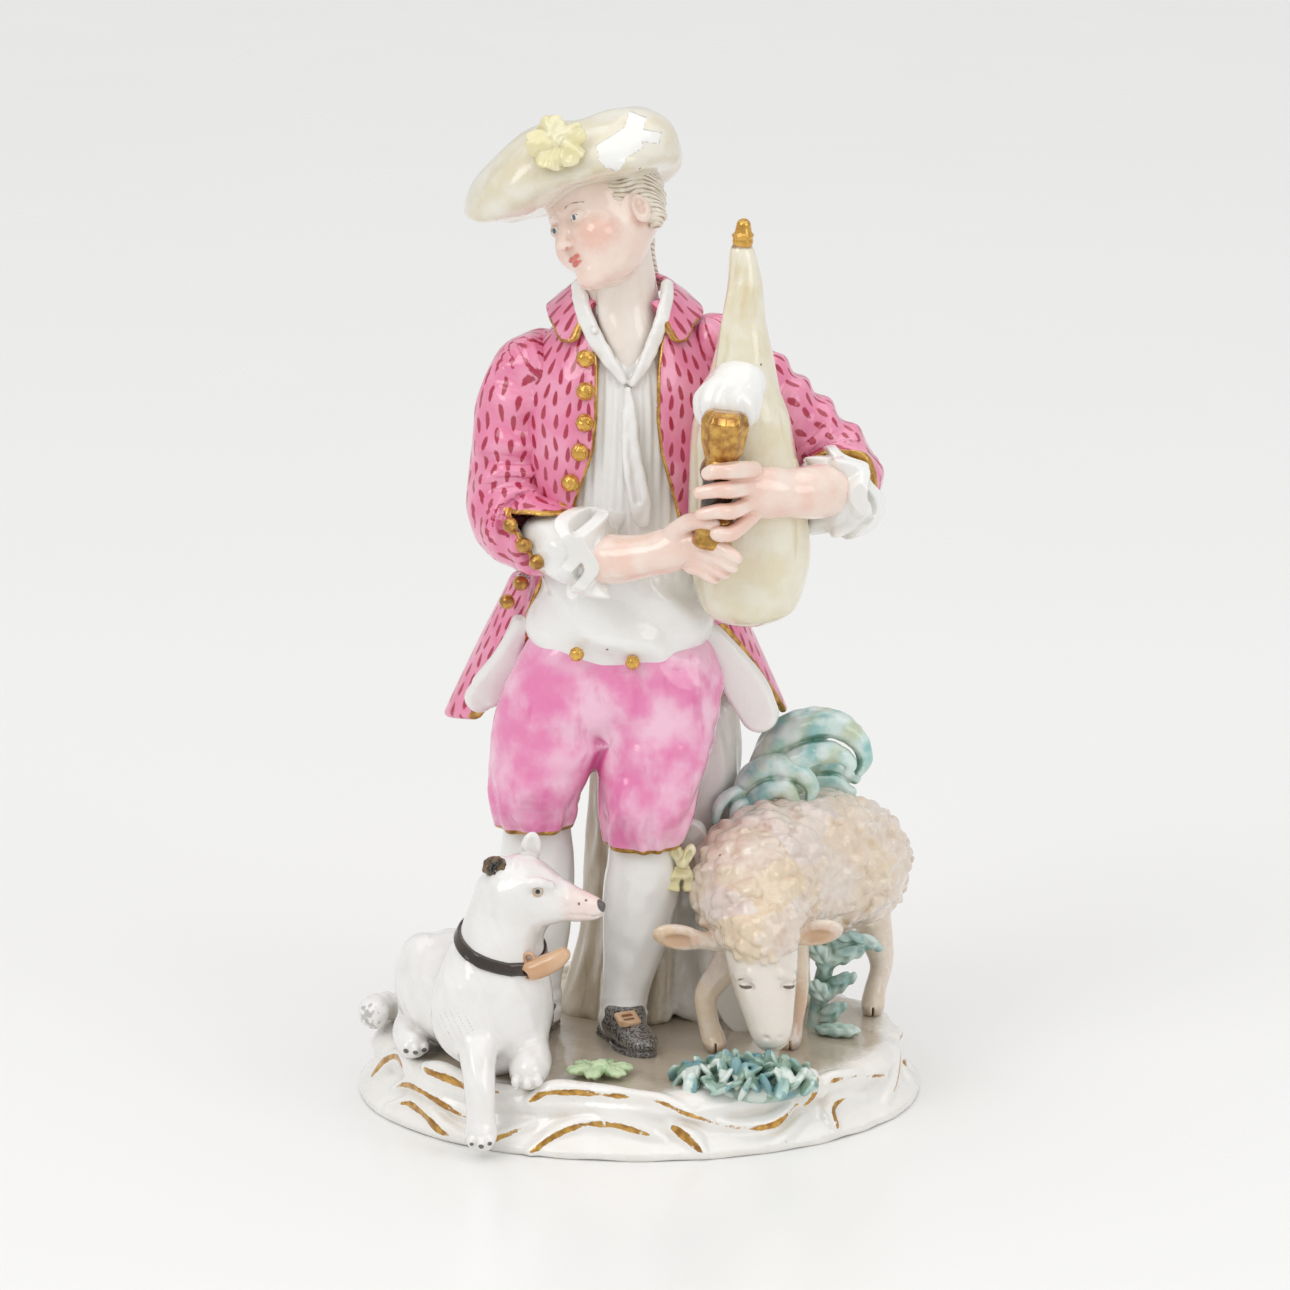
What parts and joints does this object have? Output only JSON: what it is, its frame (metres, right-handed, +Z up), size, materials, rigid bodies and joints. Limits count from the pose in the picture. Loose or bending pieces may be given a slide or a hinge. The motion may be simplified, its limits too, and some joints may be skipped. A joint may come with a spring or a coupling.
{
  "type": "porcelain figurine",
  "caption": "Glazed and enamelled porcelain figure of a shepherd playing bagpipes by a tree stump, with a dog and a grazing sheep, on an oval scrolled base.",
  "frame": {"origin": "centre of the oval foot's underside, on the surface it stands on", "axes": "+Z up, +X to the viewer's right and -Y towards the viewer, who sees the figure from the front"},
  "size_m": [0.084, 0.068, 0.1476],
  "materials": {
    "base_glaze": "glossy clear glaze over white paste, with brown wash and gilt scrolls",
    "linen_glaze": "glossy clear glaze over white paste",
    "coat_enamel": "glossy pink enamel with crimson dashes and gilt edges",
    "breeches_enamel": "glossy mottled pink enamel with gilt hems",
    "gilding": "burnished fired gilding on glaze",
    "yellow_enamel": "glossy pale yellow enamel",
    "shoe_enamel": "glossy grey and black stippled enamel",
    "skin_enamel": "glossy glaze with peach enamel",
    "hair_enamel": "glossy glaze with fine brown brush lines",
    "hat_glaze": "glossy ivory glaze with ochre edge specks",
    "bag_glaze": "glossy cream glaze with ochre mottling",
    "stock_enamel": "glossy brown enamel with gilt rings",
    "dog_glaze": "glossy white glaze with grey brush strokes",
    "dark_enamel": "glossy black and brown enamel",
    "bell_enamel": "glossy tan enamel",
    "wool_glaze": "glossy ivory glaze with ochre and mauve wash",
    "fleece_glaze": "glossy ivory glaze with tan wash",
    "stump_enamel": "glossy brown wash over white glaze",
    "acanthus_enamel": "glossy turquoise and olive enamel",
    "leaf_enamel": "glossy green enamel"
  },
  "bodies": {
    "root": {"base_plinth": "base_glaze", "shirt": "linen_glaze", "jabot": "linen_glaze", "shirt_sleeve_right": "linen_glaze", "ruffle_right": "linen_glaze", "ruffle_left": "linen_glaze", "stocking_left": "linen_glaze", "stocking_right": "linen_glaze", "bag_socket": "linen_glaze", "coat_body": "coat_enamel", "coat_skirt_right": "coat_enamel", "coat_skirt_left": "coat_enamel", "sleeve_right": "coat_enamel", "sleeve_left": "coat_enamel", "coat_collar": "coat_enamel", "breeches": "breeches_enamel", "coat_buttons": "gilding", "breeches_buttons": "gilding", "shoe_buckles": "gilding", "pipe_finial": "gilding", "garter_bow": "yellow_enamel", "hat_flower": "yellow_enamel", "shoe_left": "shoe_enamel", "shoe_right": "shoe_enamel", "head": "skin_enamel", "neck": "skin_enamel", "hand_right": "skin_enamel", "hand_left": "skin_enamel", "hair": "hair_enamel", "hair_queue": "hair_enamel", "hat": "hat_glaze", "bagpipe_bag": "bag_glaze", "pipe_stock": "stock_enamel", "dog_body": "dog_glaze", "dog_head": "dog_glaze", "dog_ear_up": "dog_glaze", "dog_foreleg": "dog_glaze", "dog_tucked_foreleg": "dog_glaze", "dog_hindleg": "dog_glaze", "dog_tail": "dog_glaze", "dog_ear_folded": "dark_enamel", "dog_collar": "dark_enamel", "dog_bell": "bell_enamel", "sheep_body": "wool_glaze", "sheep_head": "fleece_glaze", "sheep_ears": "fleece_glaze", "sheep_foreleg_right": "fleece_glaze", "sheep_foreleg_left": "fleece_glaze", "sheep_hindleg_left": "fleece_glaze", "sheep_hindleg_right": "fleece_glaze", "tree_stump": "stump_enamel", "acanthus_main": "acanthus_enamel", "acanthus_middle": "acanthus_enamel", "acanthus_front": "acanthus_enamel", "acanthus_back": "acanthus_enamel", "plant_stalk": "leaf_enamel", "fallen_leaf": "leaf_enamel", "shrub": "leaf_enamel", "ground_flower": "leaf_enamel"}
  },
  "joints": []
}
